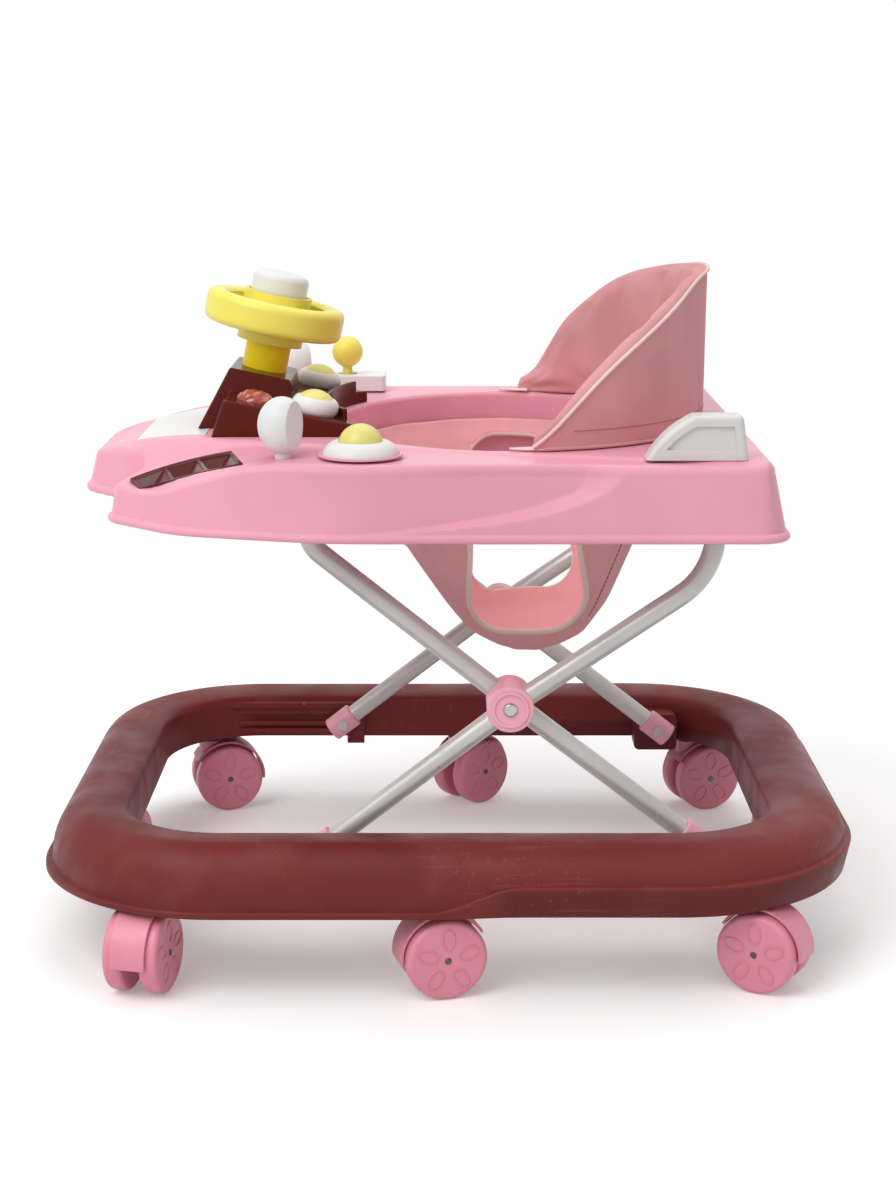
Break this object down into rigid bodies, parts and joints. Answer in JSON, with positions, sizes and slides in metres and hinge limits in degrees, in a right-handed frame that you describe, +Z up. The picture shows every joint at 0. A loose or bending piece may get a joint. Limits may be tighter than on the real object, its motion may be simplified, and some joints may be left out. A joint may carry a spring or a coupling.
{
  "type": "baby walker",
  "caption": "Folding baby walker: ring base on swivel casters, crossed tube frame, car-shaped play tray with steering wheel and buttons, and a sling seat with a padded back.",
  "frame": {"origin": "on the floor under the centre of the base ring", "axes": "+X to the walker's rear, +Y to the child's right, +Z up"},
  "size_m": [0.65, 0.5478, 0.536],
  "materials": {
    "ring_brown": "satin moulded",
    "caster_pink": "satin moulded",
    "steel": "plain",
    "frame_silver": "satin paint",
    "tray_pink": "gloss moulded",
    "vent_brown": "satin moulded",
    "panel_white": "gloss moulded",
    "fin_grey": "satin moulded",
    "under_pink": "satin moulded",
    "console_maroon": "gloss moulded",
    "lens_orange": "clear moulded",
    "board_green": "plain",
    "speaker_black": "plain",
    "white_plastic": "gloss moulded",
    "yellow_plastic": "gloss moulded",
    "seat_fabric": "woven"
  },
  "bodies": {
    "base": {"base_ring": "ring_brown", "foot_tracks": "ring_brown", "hinge_brackets": "ring_brown"},
    "inner_leg": {"inner_leg_tube": "frame_silver", "inner_leg_feet": "caster_pink", "inner_foot_pins": "steel", "inner_hubs": "caster_pink", "hub_rivets": "steel"},
    "outer_leg": {"outer_leg_tube": "frame_silver", "outer_leg_feet": "caster_pink", "outer_foot_pins": "steel", "outer_hubs": "caster_pink"},
    "tray": {"tray_shell": "tray_pink", "headlight_strips": "vent_brown", "hood_panel": "panel_white", "tail_fins": "fin_grey", "pivot_brackets": "under_pink", "height_racks": "under_pink", "console_body": "console_maroon", "console_lenses": "lens_orange", "sound_board": "board_green", "speaker": "speaker_black", "button_rings": "white_plastic", "dome_base": "white_plastic", "steering_column": "yellow_plastic", "shifter_base": "white_plastic", "seat_back": "seat_fabric", "seat_sling": "seat_fabric"},
    "steering": {"steering_wheel": "yellow_plastic"},
    "horn": {"horn_button": "white_plastic"},
    "left_button": {"button_left": "yellow_plastic"},
    "right_button": {"button_right": "yellow_plastic"},
    "dome": {"dome_button": "yellow_plastic"},
    "shifter": {"shifter_lever": "yellow_plastic"},
    "left_mirror": {"mirror_left": "white_plastic"},
    "right_mirror": {"mirror_right": "white_plastic"},
    "caster_front": {"caster_front_hood": "caster_pink"},
    "caster_front_pair": {"caster_front_wheels": "caster_pink", "caster_front_axle": "steel"},
    "caster_front_left": {"caster_front_left_hood": "caster_pink"},
    "caster_front_left_pair": {"caster_front_left_wheels": "caster_pink", "caster_front_left_axle": "steel"},
    "caster_middle_left": {"caster_middle_left_hood": "caster_pink"},
    "caster_middle_left_pair": {"caster_middle_left_wheels": "caster_pink", "caster_middle_left_axle": "steel"},
    "caster_rear_left": {"caster_rear_left_hood": "caster_pink"},
    "caster_rear_left_pair": {"caster_rear_left_wheels": "caster_pink", "caster_rear_left_axle": "steel"},
    "caster_rear": {"caster_rear_hood": "caster_pink"},
    "caster_rear_pair": {"caster_rear_wheels": "caster_pink", "caster_rear_axle": "steel"},
    "caster_rear_right": {"caster_rear_right_hood": "caster_pink"},
    "caster_rear_right_pair": {"caster_rear_right_wheels": "caster_pink", "caster_rear_right_axle": "steel"},
    "caster_middle_right": {"caster_middle_right_hood": "caster_pink"},
    "caster_middle_right_pair": {"caster_middle_right_wheels": "caster_pink", "caster_middle_right_axle": "steel"},
    "caster_front_right": {"caster_front_right_hood": "caster_pink"},
    "caster_front_right_pair": {"caster_front_right_wheels": "caster_pink", "caster_front_right_axle": "steel"}
  },
  "joints": [
    {"name": "fold", "type": "hinge", "parent": "base", "child": "inner_leg", "pos_m": [0.195, 0, 0.095], "axis": [0, -1, 0], "range_deg": [0, 27]},
    {"name": "crossing", "type": "hinge", "parent": "inner_leg", "child": "outer_leg", "pos_m": [0.048, 0, 0.209], "axis": [0, -1, 0], "range_deg": [-54, 0]},
    {"name": "tray_pivot", "type": "hinge", "parent": "outer_leg", "child": "tray", "pos_m": [0.203, 0, 0.366], "axis": [0, -1, 0], "range_deg": [0, 27]},
    {"name": "steering_turn", "type": "hinge", "parent": "tray", "child": "steering", "pos_m": [-0.152, 0, 0.45], "axis": [0.2079, 0, 0.9781], "continuous": true},
    {"name": "horn_press", "type": "slide", "parent": "steering", "child": "horn", "axis": [-0.2079, 0, -0.9781], "range_m": [0, 0.003], "stiffness_N_per_m": 500, "springref_m": -0.003},
    {"name": "left_button_press", "type": "slide", "parent": "tray", "child": "left_button", "axis": [-0.1854, 0, -0.9827], "range_m": [0, 0.003], "stiffness_N_per_m": 300, "springref_m": -0.002},
    {"name": "right_button_press", "type": "slide", "parent": "tray", "child": "right_button", "axis": [-0.1854, 0, -0.9827], "range_m": [0, 0.003], "stiffness_N_per_m": 300, "springref_m": -0.002},
    {"name": "dome_press", "type": "slide", "parent": "tray", "child": "dome", "axis": [0, 0, -1], "range_m": [0, 0.0025], "stiffness_N_per_m": 300, "springref_m": -0.002},
    {"name": "shifter_swing", "type": "hinge", "parent": "tray", "child": "shifter", "pos_m": [-0.092, 0.196, 0.414], "axis": [0, 1, 0], "range_deg": [-18, 18]},
    {"name": "left_mirror_turn", "type": "hinge", "parent": "tray", "child": "left_mirror", "pos_m": [-0.123, -0.196, 0.43], "axis": [0, 0, 1], "range_deg": [-60, 60]},
    {"name": "right_mirror_turn", "type": "hinge", "parent": "tray", "child": "right_mirror", "pos_m": [-0.139, 0.196, 0.43], "axis": [0, 0, 1], "range_deg": [-60, 60]},
    {"name": "caster_front_swivel", "type": "hinge", "parent": "base", "child": "caster_front", "pos_m": [-0.291, 0, 0.067], "axis": [0, 0, 1], "continuous": true},
    {"name": "caster_front_roll", "type": "hinge", "parent": "caster_front", "child": "caster_front_pair", "pos_m": [-0.28822, 0.01576, 0.0315], "axis": [-0.9848, 0.1736, 0], "continuous": true},
    {"name": "caster_front_left_swivel", "type": "hinge", "parent": "base", "child": "caster_front_left", "pos_m": [-0.22946, -0.21742, 0.067], "axis": [0, 0, 1], "continuous": true},
    {"name": "caster_front_left_roll", "type": "hinge", "parent": "caster_front_left", "child": "caster_front_left_pair", "pos_m": [-0.23333, -0.23295, 0.0315], "axis": [0.9703, -0.2419, 0], "continuous": true},
    {"name": "caster_middle_left_swivel", "type": "hinge", "parent": "base", "child": "caster_middle_left", "pos_m": [0.01, -0.231, 0.067], "axis": [0, 0, 1], "continuous": true},
    {"name": "caster_middle_left_roll", "type": "hinge", "parent": "caster_middle_left", "child": "caster_middle_left_pair", "pos_m": [-0.00545, -0.23514, 0.0315], "axis": [0.2588, -0.9659, 0], "continuous": true},
    {"name": "caster_rear_left_swivel", "type": "hinge", "parent": "base", "child": "caster_rear_left", "pos_m": [0.22946, -0.21742, 0.067], "axis": [0, 0, 1], "continuous": true},
    {"name": "caster_rear_left_roll", "type": "hinge", "parent": "caster_rear_left", "child": "caster_rear_left_pair", "pos_m": [0.24332, -0.22542, 0.0315], "axis": [0.5, 0.866, 0], "continuous": true},
    {"name": "caster_rear_swivel", "type": "hinge", "parent": "base", "child": "caster_rear", "pos_m": [0.291, 0, 0.067], "axis": [0, 0, 1], "continuous": true},
    {"name": "caster_rear_roll", "type": "hinge", "parent": "caster_rear", "child": "caster_rear_pair", "pos_m": [0.291, 0.016, 0.0315], "axis": [-1, 0, 0], "continuous": true},
    {"name": "caster_rear_right_swivel", "type": "hinge", "parent": "base", "child": "caster_rear_right", "pos_m": [0.22946, 0.21742, 0.067], "axis": [0, 0, 1], "continuous": true},
    {"name": "caster_rear_right_roll", "type": "hinge", "parent": "caster_rear_right", "child": "caster_rear_right_pair", "pos_m": [0.24449, 0.22289, 0.0315], "axis": [-0.342, 0.9397, 0], "continuous": true},
    {"name": "caster_middle_right_swivel", "type": "hinge", "parent": "base", "child": "caster_middle_right", "pos_m": [0.01, 0.231, 0.067], "axis": [0, 0, 1], "continuous": true},
    {"name": "caster_middle_right_roll", "type": "hinge", "parent": "caster_middle_right", "child": "caster_middle_right_pair", "pos_m": [0.02189, 0.24171, 0.0315], "axis": [-0.6691, 0.7431, 0], "continuous": true},
    {"name": "caster_front_right_swivel", "type": "hinge", "parent": "base", "child": "caster_front_right", "pos_m": [-0.22946, 0.21742, 0.067], "axis": [0, 0, 1], "continuous": true},
    {"name": "caster_front_right_roll", "type": "hinge", "parent": "caster_front_right", "child": "caster_front_right_pair", "pos_m": [-0.214, 0.22156, 0.0315], "axis": [-0.2588, 0.9659, 0], "continuous": true}
  ],
  "couplings": [
    {"joint": "crossing", "follows": "fold", "ratio": -2},
    {"joint": "tray_pivot", "follows": "fold", "ratio": 1}
  ]
}
